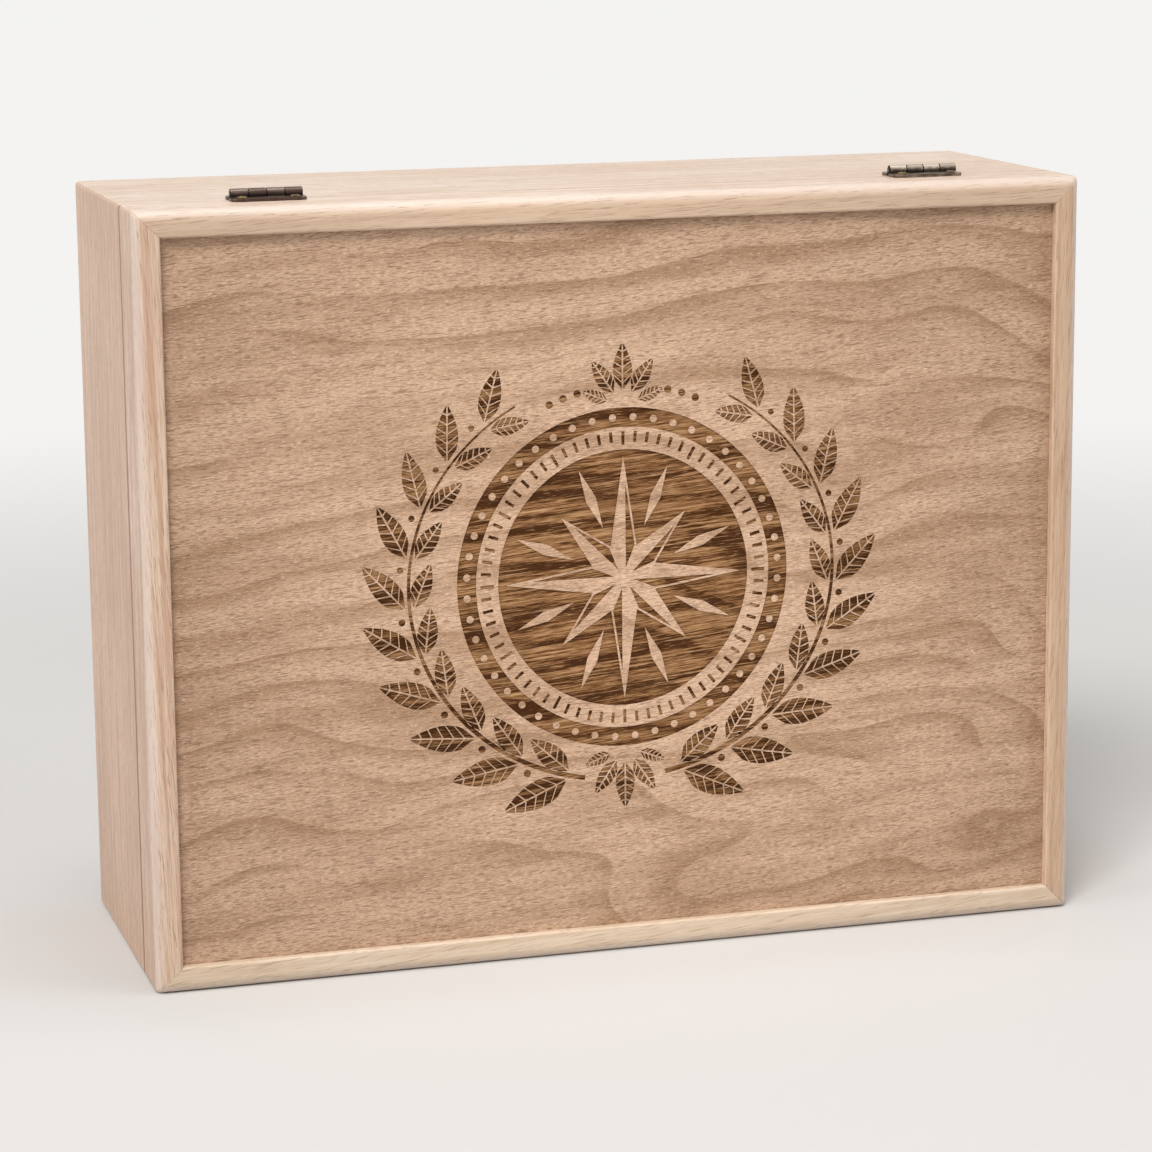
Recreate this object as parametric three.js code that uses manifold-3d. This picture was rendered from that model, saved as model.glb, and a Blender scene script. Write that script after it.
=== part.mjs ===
// A wooden box for papers and keepsakes, with a lid on two small surface-mounted hinges.
// Units are millimetres and +Z is up. The box stands on its front wall: the lid faces -Y,
// the underside of the box faces +Y and the hinges are on top.
// The origin is the middle of the rectangle that the closed box stands on.
import * as THREE from "three";
import { mergeVertices } from "three/addons/utils/BufferGeometryUtils.js";
import Module from "manifold-3d";

const wasm = await Module();
wasm.setup();

// Outside of the closed box, without its hinges
const boxWidth = 350;
const boxHeight = 278;
const boxDepth = 125;
const lidDepth = 26.5;

// Boards of the lid and of the base
const wallThickness = 9.6;
const lidFaceRadius = 4.7;
const lidInnerEdgeRadius = 0.9;
const undersideEdgeRadius = 1.6;
const boxCornerRadius = 1.2;
const rimChamfer = 0.6;
const rimGap = 0.4;
const mitreGap = 0.15;

// Panels, loose in grooves of the boards
const panelThickness = 4;
const lidPanelRecess = 3.6;
const basePanelRecess = 3.2;
const grooveDepth = 4.4;
const panelSideClearance = 0.12;
const panelEdgeClearance = 0.6;

// Hinges
const hingeFromSide = 52;
const barrelLength = 26;
const barrelRadius = 2;
const pinRadius = 0.95;
const pinClearance = 0.09;
const knuckleCount = 4;
const knuckleGap = 0.3;
const leafThickness = 1;
const leafLength = 27.8;
const leafReach = 8;
const leafInnerReach = 0.9;
const leafCornerRadius = 2.8;
const leafInnerCornerRadius = 0.5;
const leafSeatGap = 0.1;
const notchClearance = 0.3;

// Hinge screws
const screwSpacing = 19;
const screwReach = 4.8;
const screwHeadRadius = 2.1;
const screwHeadRim = 0.15;
const screwHeadHeight = 0.8;
const screwShankRadius = 0.85;
const screwLength = 8;
const screwTipLength = 2;
const screwHoleClearance = 0.12;
const screwSeatGap = 0.05;
const crossLength = 2.2;
const crossWidth = 0.45;
const crossDepth = 0.4;
const screwTurnDegrees = { base: [20, 40], lid: [65, 5] };

// Magnets in the rims that hold the lid shut
const magnetFromSide = 36;
const magnetRadius = 3;
const magnetThickness = 2;
const magnetSink = 0.15;
const magnetClearance = 0.1;

// Fineness of round shapes, and how far a cut runs past what it cuts
const quarterTurn = Math.PI / 2;
const edgeSegments = 8;
const roundSegments = 24;
const screwSegments = 16;
const cutOverrun = 1;
const weldDistance = 1e-4;

// Places that follow from the sizes above
const lidFaceY = -boxDepth / 2;
const undersideY = boxDepth / 2;
const partingY = lidFaceY + lidDepth;
const lidRimY = partingY - rimGap / 2;
const baseRimY = partingY + rimGap / 2;
const hingeAxisHeight = leafSeatGap + barrelRadius;
const boreRadius = pinRadius + pinClearance;
const knucklePitch = barrelLength / knuckleCount;
const hingeX = boxWidth / 2 - hingeFromSide;
const magnetX = boxWidth / 2 - magnetFromSide;

// Materials, in the colours of the bare wood and the aged bronze
const boardWood = new THREE.MeshStandardMaterial({ color: 0xdcc4a8, roughness: 0.72, metalness: 0 });
const panelWood = new THREE.MeshStandardMaterial({ color: 0xbf9a7d, roughness: 0.76, metalness: 0 });
const bronze = new THREE.MeshStandardMaterial({ color: 0x4f473d, roughness: 0.45, metalness: 0.9 });
const brass = new THREE.MeshStandardMaterial({ color: 0x9b8350, roughness: 0.4, metalness: 0.95 });
const nickel = new THREE.MeshStandardMaterial({ color: 0xb9bbbd, roughness: 0.25, metalness: 1 });

// A closed geometry as a solid that can be joined and cut
function solidOf(geometry) {
  const bare = geometry.clone();
  bare.deleteAttribute("normal");
  bare.deleteAttribute("uv");
  const merged = mergeVertices(bare, weldDistance);
  const vertProperties = merged.attributes.position.array;
  const triVerts = new Uint32Array(merged.index.array);
  return new wasm.Manifold(new wasm.Mesh({ numProp: 3, vertProperties, triVerts }));
}

// A solid as a geometry with one normal per face
function geometryOf(solid) {
  const mesh = solid.getMesh();
  const indexed = new THREE.BufferGeometry();
  indexed.setAttribute("position", new THREE.BufferAttribute(mesh.vertProperties, 3));
  indexed.setIndex(new THREE.BufferAttribute(mesh.triVerts, 1));
  const geometry = indexed.toNonIndexed();
  geometry.computeVertexNormals();
  return geometry;
}

function extruded(shape, depth, segments) {
  return new THREE.ExtrudeGeometry(shape, { depth, bevelEnabled: false, curveSegments: segments });
}

function boxBetween(low, high) {
  const size = high.clone().sub(low);
  const middle = high.clone().add(low).multiplyScalar(1 / 2);
  return new THREE.BoxGeometry(size.x, size.y, size.z).translate(middle.x, middle.y, middle.z);
}

// A rectangle with one radius at its two lower corners and another at its two upper ones
function roundedRectangle(left, bottom, right, top, lowerRadius, upperRadius) {
  const corners = [
    [right - lowerRadius, bottom + lowerRadius, lowerRadius],
    [right - upperRadius, top - upperRadius, upperRadius],
    [left + upperRadius, top - upperRadius, upperRadius],
    [left + lowerRadius, bottom + lowerRadius, lowerRadius],
  ];
  const shape = new THREE.Shape();
  corners.forEach(([x, y, radius], index) => {
    const start = (index - 1) * quarterTurn;
    if (index === 0) {
      shape.moveTo(x, y - radius);
    }
    shape.absarc(x, y, radius, start, start + quarterTurn, false);
  });
  return shape;
}

// Section of a lid board: x is the depth from the lid's face, y is inwards from the outer face
function lidSection() {
  const rim = lidRimY - lidFaceY;
  const grooveNear = lidPanelRecess - panelSideClearance;
  const grooveFar = lidPanelRecess + panelThickness + panelSideClearance;
  const grooveFloor = wallThickness - grooveDepth;
  const innerEdge = wallThickness - lidInnerEdgeRadius;
  const shape = new THREE.Shape();
  shape.moveTo(lidFaceRadius, 0);
  shape.lineTo(rim - rimChamfer, 0);
  shape.lineTo(rim, rimChamfer);
  shape.lineTo(rim, wallThickness);
  shape.lineTo(grooveFar, wallThickness);
  shape.lineTo(grooveFar, grooveFloor);
  shape.lineTo(grooveNear, grooveFloor);
  shape.lineTo(grooveNear, wallThickness);
  shape.lineTo(lidInnerEdgeRadius, wallThickness);
  shape.absarc(lidInnerEdgeRadius, innerEdge, lidInnerEdgeRadius, quarterTurn, 2 * quarterTurn, false);
  shape.lineTo(0, lidFaceRadius);
  shape.absarc(lidFaceRadius, lidFaceRadius, lidFaceRadius, 2 * quarterTurn, 3 * quarterTurn, false);
  return shape;
}

// Section of a base board: x is the depth from the rim, y is inwards from the outer face
function baseSection() {
  const far = undersideY - baseRimY;
  const grooveFar = far - basePanelRecess + panelSideClearance;
  const grooveNear = far - basePanelRecess - panelThickness - panelSideClearance;
  const grooveFloor = wallThickness - grooveDepth;
  const radius = undersideEdgeRadius;
  const shape = new THREE.Shape();
  shape.moveTo(rimChamfer, 0);
  shape.lineTo(far - radius, 0);
  shape.absarc(far - radius, radius, radius, -quarterTurn, 0, false);
  shape.lineTo(far, wallThickness);
  shape.lineTo(grooveFar, wallThickness);
  shape.lineTo(grooveFar, grooveFloor);
  shape.lineTo(grooveNear, grooveFloor);
  shape.lineTo(grooveNear, wallThickness);
  shape.lineTo(0, wallThickness);
  shape.lineTo(0, rimChamfer);
  return shape;
}

// A board in its own frame: x runs along it, y is the depth, z is inwards from its outer face.
// The box's outline rounds its two outer corners, and the mitred outline cuts its ends at 45 degrees.
function boardSolid(section, startY, length, across) {
  const depthAndInwards = new THREE.Matrix4().makeBasis(
    new THREE.Vector3(0, 1, 0),
    new THREE.Vector3(0, 0, 1),
    new THREE.Vector3(1, 0, 0),
  );
  const bar = extruded(section, length, edgeSegments);
  bar.applyMatrix4(depthAndInwards);
  bar.translate(-length / 2, startY, 0);
  const corner = boxCornerRadius;
  const boxOutline = roundedRectangle(-length / 2, 0, length / 2, across, corner, corner);
  const longEnd = (length - mitreGap * Math.SQRT2) / 2 + cutOverrun;
  const shortEnd = longEnd - wallThickness - 2 * cutOverrun;
  const mitredOutline = new THREE.Shape();
  mitredOutline.moveTo(-longEnd, -cutOverrun);
  mitredOutline.lineTo(longEnd, -cutOverrun);
  mitredOutline.lineTo(shortEnd, wallThickness + cutOverrun);
  mitredOutline.lineTo(-shortEnd, wallThickness + cutOverrun);
  return [boxOutline, mitredOutline].reduce((solid, shape) => {
    const prism = extruded(shape, boxDepth, edgeSegments);
    prism.rotateX(quarterTurn);
    prism.translate(0, undersideY, 0);
    return solid.intersect(solidOf(prism));
  }, solidOf(bar));
}

function holeAlongZ(radius, depth, x, y) {
  const height = depth + cutOverrun;
  const hole = new THREE.CylinderGeometry(radius, radius, height, screwSegments);
  hole.rotateX(quarterTurn);
  hole.translate(x, y, depth - height / 2);
  return solidOf(hole);
}

// Pilot holes for the screws of both hinges, on one side of the parting line
function cutPilotHoles(board, sideSign) {
  const depth = screwLength + screwHoleClearance;
  const radius = screwShankRadius + screwHoleClearance;
  let cut = board;
  for (const hinge of [-hingeX, hingeX]) {
    for (const along of [-screwSpacing / 2, screwSpacing / 2]) {
      cut = cut.subtract(holeAlongZ(radius, depth, hinge + along, partingY + sideSign * screwReach));
    }
  }
  return cut;
}

// Blind seats for the two magnets in the rim of a board
function cutMagnetSeats(board, rimY, inwardsSign) {
  const depth = magnetThickness + magnetSink + magnetClearance;
  const height = depth + cutOverrun;
  const middleY = rimY + inwardsSign * (depth - height / 2);
  const radius = magnetRadius + magnetClearance;
  return [-magnetX, magnetX].reduce((cut, x) => {
    const seat = new THREE.CylinderGeometry(radius, radius, height, roundSegments);
    seat.translate(x, middleY, wallThickness / 2);
    return cut.subtract(solidOf(seat));
  }, board);
}

function panelGeometry() {
  const inset = 2 * (wallThickness - grooveDepth + panelEdgeClearance);
  return new THREE.BoxGeometry(boxWidth - inset, panelThickness, boxHeight - inset);
}

// One hinge leaf, lying on the wood from the parting line towards +Y, with every second knuckle
function leafSolid() {
  const inner = leafInnerCornerRadius;
  const outline = roundedRectangle(
    -leafLength / 2, leafInnerReach, leafLength / 2, leafReach, inner, leafCornerRadius,
  );
  const plate = extruded(outline, leafThickness, edgeSegments).translate(0, 0, leafSeatGap);
  let leaf = solidOf(plate);
  const notchReach = barrelRadius + notchClearance;
  const leafTop = leafSeatGap + leafThickness;
  for (let cell = 0; cell < knuckleCount; cell += 1) {
    const start = -barrelLength / 2 + cell * knucklePitch;
    const end = start + knucklePitch;
    if (cell % 2 === 0) {
      const low = new THREE.Vector3(start - knuckleGap / 2, -cutOverrun, 0);
      const high = new THREE.Vector3(end + knuckleGap / 2, notchReach, leafTop + cutOverrun);
      leaf = leaf.subtract(solidOf(boxBetween(low, high)));
    } else {
      const low = new THREE.Vector3(start + knuckleGap / 2, 0, leafSeatGap);
      const high = new THREE.Vector3(end - knuckleGap / 2, notchReach, leafTop);
      const knuckle = rodAlongX(barrelRadius, knucklePitch - knuckleGap, (start + end) / 2);
      leaf = leaf.add(solidOf(boxBetween(low, high))).add(knuckle);
    }
  }
  leaf = leaf.subtract(rodAlongX(boreRadius, barrelLength + cutOverrun, 0));
  for (const x of [-screwSpacing / 2, screwSpacing / 2]) {
    leaf = leaf.subtract(
      holeAlongZ(screwShankRadius + screwHoleClearance, leafTop + cutOverrun, x, screwReach),
    );
  }
  return leaf;
}

function rodAlongX(radius, length, x) {
  const rod = new THREE.CylinderGeometry(radius, radius, length, roundSegments);
  rod.rotateZ(quarterTurn);
  rod.translate(x, 0, hingeAxisHeight);
  return solidOf(rod);
}

// A screw with a low domed head and a cross recess; z is 0 under its head
function screwSolid() {
  const rise = screwHeadHeight - screwHeadRim;
  const domeRadius = (screwHeadRadius ** 2 + rise ** 2) / (2 * rise);
  const domeCentre = screwHeadHeight - domeRadius;
  const rimAngle = Math.asin(screwHeadRadius / domeRadius);
  const profile = [
    new THREE.Vector2(0, -screwLength),
    new THREE.Vector2(screwShankRadius, screwTipLength - screwLength),
    new THREE.Vector2(screwShankRadius, 0),
    new THREE.Vector2(screwHeadRadius, 0),
  ];
  const domeSteps = edgeSegments / 2;
  for (let step = domeSteps; step > 0; step -= 1) {
    const angle = (rimAngle * step) / domeSteps;
    profile.push(
      new THREE.Vector2(domeRadius * Math.sin(angle), domeCentre + domeRadius * Math.cos(angle)),
    );
  }
  profile.push(new THREE.Vector2(0, screwHeadHeight));
  const turned = new THREE.LatheGeometry(profile, screwSegments).rotateX(quarterTurn);
  const top = screwHeadHeight + cutOverrun;
  const floor = screwHeadHeight - crossDepth;
  const slots = [
    [crossLength / 2, crossWidth / 2],
    [crossWidth / 2, crossLength / 2],
  ];
  return slots.reduce((solid, [x, y]) => {
    const slot = boxBetween(new THREE.Vector3(-x, -y, floor), new THREE.Vector3(x, y, top));
    return solid.subtract(solidOf(slot));
  }, solidOf(turned));
}

function named(name, geometry, material) {
  const mesh = new THREE.Mesh(geometry, material);
  mesh.name = name;
  return mesh;
}

// Two boards lie along each side of the box: one of the lid and one of the base
const sides = [
  { place: "front", length: boxWidth, across: boxHeight, turn: 0, at: [0, 0, 0] },
  { place: "hinge_side", length: boxWidth, across: boxHeight, turn: 2, at: [0, 0, boxHeight] },
  { place: "left", length: boxHeight, across: boxWidth, turn: 1, at: [-boxWidth / 2, 0, boxHeight / 2] },
  { place: "right", length: boxHeight, across: boxWidth, turn: -1, at: [boxWidth / 2, 0, boxHeight / 2] },
];

function boardsOfSide({ place, length, across, turn, at }) {
  const group = new THREE.Group();
  group.rotation.y = turn * quarterTurn;
  group.position.set(...at);
  let lidBoard = boardSolid(lidSection(), lidFaceY, length, across);
  let baseBoard = boardSolid(baseSection(), baseRimY, length, across);
  if (place === "hinge_side") {
    lidBoard = cutPilotHoles(lidBoard, -1);
    baseBoard = cutPilotHoles(baseBoard, 1);
  }
  if (place === "front") {
    lidBoard = cutMagnetSeats(lidBoard, lidRimY, -1);
    baseBoard = cutMagnetSeats(baseBoard, baseRimY, 1);
  }
  group.add(named(`lid_board_${place}`, geometryOf(lidBoard), boardWood));
  group.add(named(`base_board_${place}`, geometryOf(baseBoard), boardWood));
  return group;
}

function panels() {
  const lidPanel = named("lid_panel", panelGeometry(), panelWood);
  lidPanel.position.set(0, lidFaceY + lidPanelRecess + panelThickness / 2, boxHeight / 2);
  const basePanel = named("base_panel", panelGeometry(), panelWood);
  basePanel.position.set(0, undersideY - basePanelRecess - panelThickness / 2, boxHeight / 2);
  return [lidPanel, basePanel];
}

// A hinge in its own frame: the origin is on the wood, on the parting line, at its middle
function hinge(side, x) {
  const group = new THREE.Group();
  group.position.set(x, partingY, boxHeight);
  const leaf = geometryOf(leafSolid());
  const screw = geometryOf(screwSolid());
  for (const [owner, turn] of [["base", 0], ["lid", 2 * quarterTurn]]) {
    const half = new THREE.Group();
    half.rotation.z = turn;
    half.add(named(`hinge_${side}_${owner}_leaf`, leaf, bronze));
    for (const index of [0, 1]) {
      const mesh = named(`hinge_${side}_${owner}_screw_${index + 1}`, screw, brass);
      const seat = leafSeatGap + leafThickness + screwSeatGap;
      mesh.position.set((index - 1 / 2) * screwSpacing, screwReach, seat);
      mesh.rotation.z = THREE.MathUtils.degToRad(screwTurnDegrees[owner][index]);
      half.add(mesh);
    }
    group.add(half);
  }
  const pin = new THREE.CylinderGeometry(pinRadius, pinRadius, barrelLength, roundSegments);
  const pinMesh = named(`hinge_${side}_pin`, pin, bronze);
  pinMesh.rotation.z = quarterTurn;
  pinMesh.position.z = hingeAxisHeight;
  group.add(pinMesh);
  return group;
}

function magnets() {
  const group = new THREE.Group();
  const disc = new THREE.CylinderGeometry(magnetRadius, magnetRadius, magnetThickness, roundSegments);
  const fromRim = magnetSink + magnetThickness / 2;
  for (const [side, x] of [["left", -magnetX], ["right", magnetX]]) {
    const lidMagnet = named(`lid_magnet_${side}`, disc, nickel);
    lidMagnet.position.set(x, lidRimY - fromRim, wallThickness / 2);
    const baseMagnet = named(`base_magnet_${side}`, disc, nickel);
    baseMagnet.position.set(x, baseRimY + fromRim, wallThickness / 2);
    group.add(lidMagnet, baseMagnet);
  }
  return group;
}

const box = new THREE.Group();
box.add(...sides.map(boardsOfSide));
box.add(...panels());
box.add(hinge("left", -hingeX), hinge("right", hingeX));
box.add(magnets());

export default box;
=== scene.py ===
"""Looks of a wooden box for papers and keepsakes, with an engraved lid on two small hinges.

Lengths are in metres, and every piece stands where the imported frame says.
"""
import math

import bmesh
import bpy
from mathutils import Matrix, Vector


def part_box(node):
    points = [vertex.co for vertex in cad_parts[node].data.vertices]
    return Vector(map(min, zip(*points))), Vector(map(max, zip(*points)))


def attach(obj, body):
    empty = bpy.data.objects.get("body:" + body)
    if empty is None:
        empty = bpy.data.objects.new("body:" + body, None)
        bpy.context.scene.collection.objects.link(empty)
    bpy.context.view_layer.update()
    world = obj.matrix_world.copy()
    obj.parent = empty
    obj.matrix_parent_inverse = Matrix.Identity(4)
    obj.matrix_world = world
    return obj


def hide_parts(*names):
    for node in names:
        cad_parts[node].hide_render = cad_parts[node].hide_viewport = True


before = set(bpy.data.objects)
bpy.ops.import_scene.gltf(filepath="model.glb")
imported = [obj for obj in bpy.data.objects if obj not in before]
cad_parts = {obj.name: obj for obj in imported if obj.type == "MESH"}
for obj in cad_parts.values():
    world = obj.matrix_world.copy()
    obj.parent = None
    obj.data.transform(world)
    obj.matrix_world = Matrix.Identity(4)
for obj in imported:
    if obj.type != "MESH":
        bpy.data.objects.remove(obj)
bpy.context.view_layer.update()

MM = 0.001
WELD_DISTANCE = 0.002 * MM

# Places of the wood, from the frame
BOX_LOW = Vector((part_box("base_board_left")[0].x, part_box("lid_board_front")[0].y, 0))
BOX_HIGH = Vector(
    (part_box("base_board_right")[1].x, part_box("base_board_front")[1].y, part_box("base_board_hinge_side")[1].z)
)
BOX_MIDDLE = (BOX_LOW + BOX_HIGH) / 2
LID_MIDDLE = Vector((BOX_MIDDLE.x, BOX_LOW.y, BOX_MIDDLE.z))
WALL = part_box("lid_board_left")[1].x - BOX_LOW.x
RIM_CLOSING = 0.12 * MM
LID_RIM_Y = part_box("lid_board_front")[1].y + RIM_CLOSING
BASE_RIM_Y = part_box("base_board_front")[0].y - RIM_CLOSING
PARTING_Y = (LID_RIM_Y + BASE_RIM_Y) / 2
LID_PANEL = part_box("lid_panel")
BASE_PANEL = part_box("base_panel")

# Edges and joints of the boards
LID_FACE_RADIUS = 4.7 * MM
LID_INNER_RADIUS = 0.9 * MM
UNDERSIDE_RADIUS = 1.6 * MM
RIM_RADIUS = 0.5 * MM
ARRIS_RADIUS = 0.25 * MM
BOX_CORNER_RADIUS = 1.6 * MM
MITRE_GAP = 0.06 * MM
GROOVE_DEPTH = 4.4 * MM
PANEL_SIDE_CLEARANCE = 0.12 * MM
ROUND_STEPS = 12
TURN_STEPS = 4 * ROUND_STEPS
CORNER_STEPS = 5
MITRE_ANGLE = math.radians(45)
SMOOTH_ANGLE = math.radians(38)

# Hinges, laid on the wood across the line where lid and base part
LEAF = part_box("hinge_left_base_leaf")
LEFT_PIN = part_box("hinge_left_pin")
RIGHT_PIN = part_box("hinge_right_pin")
PIN_RADIUS = (LEFT_PIN[1].z - LEFT_PIN[0].z) / 2
HINGE_AXIS_HEIGHT = LEFT_PIN[1].z - PIN_RADIUS - BOX_HIGH.z
BARREL_LENGTH = LEFT_PIN[1].x - LEFT_PIN[0].x
BARREL_RADIUS = LEAF[1].z - BOX_HIGH.z - HINGE_AXIS_HEIGHT
BORE_RADIUS = PIN_RADIUS + 0.09 * MM
KNUCKLE_COUNT = 4
KNUCKLE_PITCH = BARREL_LENGTH / KNUCKLE_COUNT
LEAF_END_INSET = 0.4 * MM
KNUCKLE_GAP = 0.42 * MM
LEAF_LENGTH = LEAF[1].x - LEAF[0].x - 2 * LEAF_END_INSET
LEAF_REACH = LEAF[1].y - PARTING_Y
LEAF_INNER_REACH = 0.9 * MM
LEAF_SEAT_GAP = 0.1 * MM
LEAF_THICKNESS = 1 * MM
LEAF_TOP = LEAF_SEAT_GAP + LEAF_THICKNESS
LEAF_CORNER_RADIUS = 3.3 * MM
LEAF_BEVEL = 0.18 * MM
LEAF_BEVEL_STEPS = 2
NOTCH_REACH = BARREL_RADIUS + 0.3 * MM
CURL_START_ANGLE = math.radians(270)
CURL_END_ANGLE = math.radians(-24)
SCREW_SPACING = 19 * MM
SCREW_REACH = 4.8 * MM
SCREW_SEAT_GAP = 0.05 * MM
SCREW_HEAD_RADIUS = 2.1 * MM
SCREW_HEAD_RIM = 0.18 * MM
SCREW_HEAD_HEIGHT = 0.8 * MM
SCREW_SHANK_RADIUS = 0.85 * MM
SCREW_HOLE_RADIUS = 0.97 * MM
SCREW_STEPS = 36
SCREW_HOLE_STEPS = 24
SCREW_LENGTH = 8 * MM
SCREW_TIP = 2 * MM
CROSS_LENGTH = 2.2 * MM
CROSS_WIDTH = 0.45 * MM
CROSS_DEPTH = 0.45 * MM
SCREW_TURN_DEGREES = {"base": (20, 40), "lid": (65, 5)}
MAGNET_BEVEL = 0.25 * MM
MAGNET_BEVEL_STEPS = 3
MAGNET_CLEARANCE = 0.1 * MM

# Each hinge: its pin, how pale the base's and the lid's leaf are, partly from real wearing and partly as a
# painted highlight and reflection that makes the right hinge paler, and the seed of its metal
HINGES = {
    "left": (LEFT_PIN, (0.02, 0.12), (0, 0, 0)),
    "right": (RIGHT_PIN, (0.6, 0.9), (37, 5, 11)),
}

# Engraving: a compass in a wreath, its lengths counted from the middle of the panel
ENGRAVE_DEPTH = 0.4 * MM
CUT_OVERRUN = 1 * MM
DISC_RADIUS = 47 * MM
TICK_INNER_RADIUS = 49.8 * MM
TICK_LONG_INNER_RADIUS = 48.6 * MM
TICK_OUTER_RADIUS = 53.6 * MM
TICK_WIDTH = 1.15 * MM
TICK_COUNT = 72
TICKS_PER_LONG_TICK = 6
BAND_INNER_RADIUS = 55.2 * MM
BAND_OUTER_RADIUS = 62.2 * MM
BEAD_RADIUS = 1.35 * MM
BEAD_COUNT = 48
STAR_POINTS = 8
STAR_PITCH_DEGREES = 360 / STAR_POINTS
STAR_LONG_RADIUS = 44.6 * MM
STAR_SHORT_RADIUS = 33 * MM
STAR_VALLEY_RADIUS = 12.8 * MM
STAR_INSET = 0.75 * MM
RAY_INNER_RADIUS = 20 * MM
RAY_OUTER_RADIUS = 43.5 * MM
RAY_HALF_WIDTH = 2 * MM
STEM_RADIUS_ACROSS = 80 * MM
STEM_RADIUS_UP = 74.5 * MM
STEM_HALF_WIDTH = 0.9 * MM
STEM_TIP_SHARE = 0.4
STEM_START_DEGREES = 169
STEM_END_DEGREES = 30
LEAF_PAIRS = 10
OUTER_LEAF = (26 * MM, 10.4 * MM, 38)
INNER_LEAF = (19.5 * MM, 8.4 * MM, 27)
LEAF_TIP_SHRINK = 0.25
LEAF_START_SHARE = 0.35
LEAF_FROM_STEM = 1.7 * MM
LEAF_LEAN_POWER = 0.8
LEAF_BELLY_POWER = 0.85
LEAF_VEINS = 6
VEIN_GAP = 0.55 * MM
MIDRIB_HALF_WIDTH = 0.3 * MM
VEIN_SLANT_SHARE = 0.2
LEAF_TIP_SHARE = 0.985
BERRY_RADIUS = 1.4 * MM
BERRY_FROM_STEM = 3.4 * MM
BERRY_SHARE = 0.76
FAN_LEAVES = ((0, 17 * MM), (34, 14.5 * MM), (68, 10.5 * MM))
FAN_LEAF_WIDTH_SHARE = 0.42
FAN_RADIUS = 62.5 * MM
FAN_LEAF_START = 6 * MM
DOT_RADIUS = 1.4 * MM
DOT_DEGREES = (14, 18.5, 23)
DOT_LINE_RADIUS = 70 * MM
CIRCLE_STEPS = 144
DOT_STEPS = 16
STEM_STEPS = 60
PANEL_SLOPE_DEGREES = 5
SLAB_TILE = 8 * MM

# Wood of each side: the way its grain runs, its seed, how far its rings and its pores slant in
# degrees, and how far the wood is darkened beside the joint of lid and base in millimetres
BOARD_GRAIN = {
    "front": ("X", (310, 0, 40), (2, 8), 0.45),
    "hinge_side": ("X", (0, 0, -270), (1.5, 4), 0.45),
    "left": ("Z", (40, 0, 190), (-1.5, -5), 1.65),
    "right": ("Z", (-60, 0, -150), (1, 4), 1.65),
}
LID_PANEL_SEED = (0, 0, 0)
BASE_PANEL_SEED = (900, 0, 400)

# Layers of noise: waves per millimetre along the grain, through the wood and across the grain, then
# detail and roughness. A layer that bends the others has its reach in millimetres those three ways.
# Rings have their number per millimetre.
BOARD_BEND = ((0.004, 0.012, 0.02), (0, 9, 6))
BOARD_RIPPLE = ((0.03, 0.15, 0.2), (0, 0.7, 0.8))
BOARD_RINGS = (0, 0.13, 0.22)
BOARD_STREAK = ((0.013, 0.2, 0.4), 3, 0.6)
BOARD_FIBRE = ((0.05, 1.4, 3), 3, 0.75)
BOARD_CLOUD = ((0.01, 0.03, 0.05), 2, 0.5)
BOARD_PORE = ((0.075, 2, 3), 2, 0.6)
BOARD_PORE_RIPPLE = ((0.04, 0.2, 0.2), (0, 1, 1))
PANEL_STRAIGHT = ((0.011, 0.02, 0.02), (0, 0, 3))
PANEL_BEND = ((0.011, 0.02, 0.02), (0, 0, 9))
PANEL_RIPPLE = ((0.04, 0.1, 0.1), (0, 0, 2.4))
PANEL_RINGS = (0, 0, 0.066)
PANEL_HILLS = ((0.0095, 0.01, 0.02), 1, 0.4)
PANEL_SOFT = ((0.008, 0.06, 0.05), 2, 0.5)
PANEL_BROAD = ((0.01, 0.1, 0.09), 3, 0.6)
PANEL_LINE = ((0.05, 1.2, 1.9), 3, 0.7)
PANEL_THIN_DASH = ((0.3, 2, 3.2), 1, 0.6)
PANEL_LONG_DASH = ((0.09, 1, 2.8), 1, 0.4)
PANEL_GRAIN = ((0.55, 1.9, 2.4), 2, 0.8)
BURN_STREAK = ((0.012, 0.2, 0.24), 2, 0.55)
BURN_LINE = ((0.04, 1, 1.9), 3, 0.7)
BURN_THREAD = ((0.17, 2, 3.2), 2, 0.6)
BRONZE_PATCH = ((0.3, 0.5, 0.5), 3, 0.55)
BRONZE_FINE = ((2.5, 5, 5), 3, 0.6)
BRASS_PATCH = ((0.9, 0.9, 0.9), 3, 0.6)
NICKEL_SCUFF = ((1.2, 1.2, 1.2), 4, 0.7)

# Loops in the panel's rings, and their growth per millimetre towards its lower right corner
PANEL_HILL_RINGS = 7.5
PANEL_CORNER = (0.002, 0, -0.0022)
PANEL_CORNER_SHARE = 0.75

# Finish: how far a roughness or metallic share varies and its least value, or its one value, and the
# depth and strength of a relief
BOARD_ROUGHNESS = (0.16, 0.34)
PANEL_ROUGHNESS = (0.14, 0.56)
BURN_ROUGHNESS = 0.85
BURN_SPECULAR = 0.08
BRONZE_ROUGHNESS = (0.22, 0.24)
BRONZE_METALLIC = (0.4, 0.5)
BRASS_ROUGHNESS = (0.2, 0.1)
BRASS_METALLIC = 0.95
NICKEL_ROUGHNESS = (0.3, 0.12)
BOARD_RELIEF = (0.06 * MM, 0.4)
PANEL_RELIEF = (0.12 * MM, 0.8)
BURN_RELIEF = (0.15 * MM, 0.5)
BRONZE_RELIEF = (0.02 * MM, 0.25)

# Floor, in metres
FLOOR_RADIUS = 20
FLOOR_FADE_REACH = 1.3
FLOOR_FADE_START_SHARE = 0.25

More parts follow.
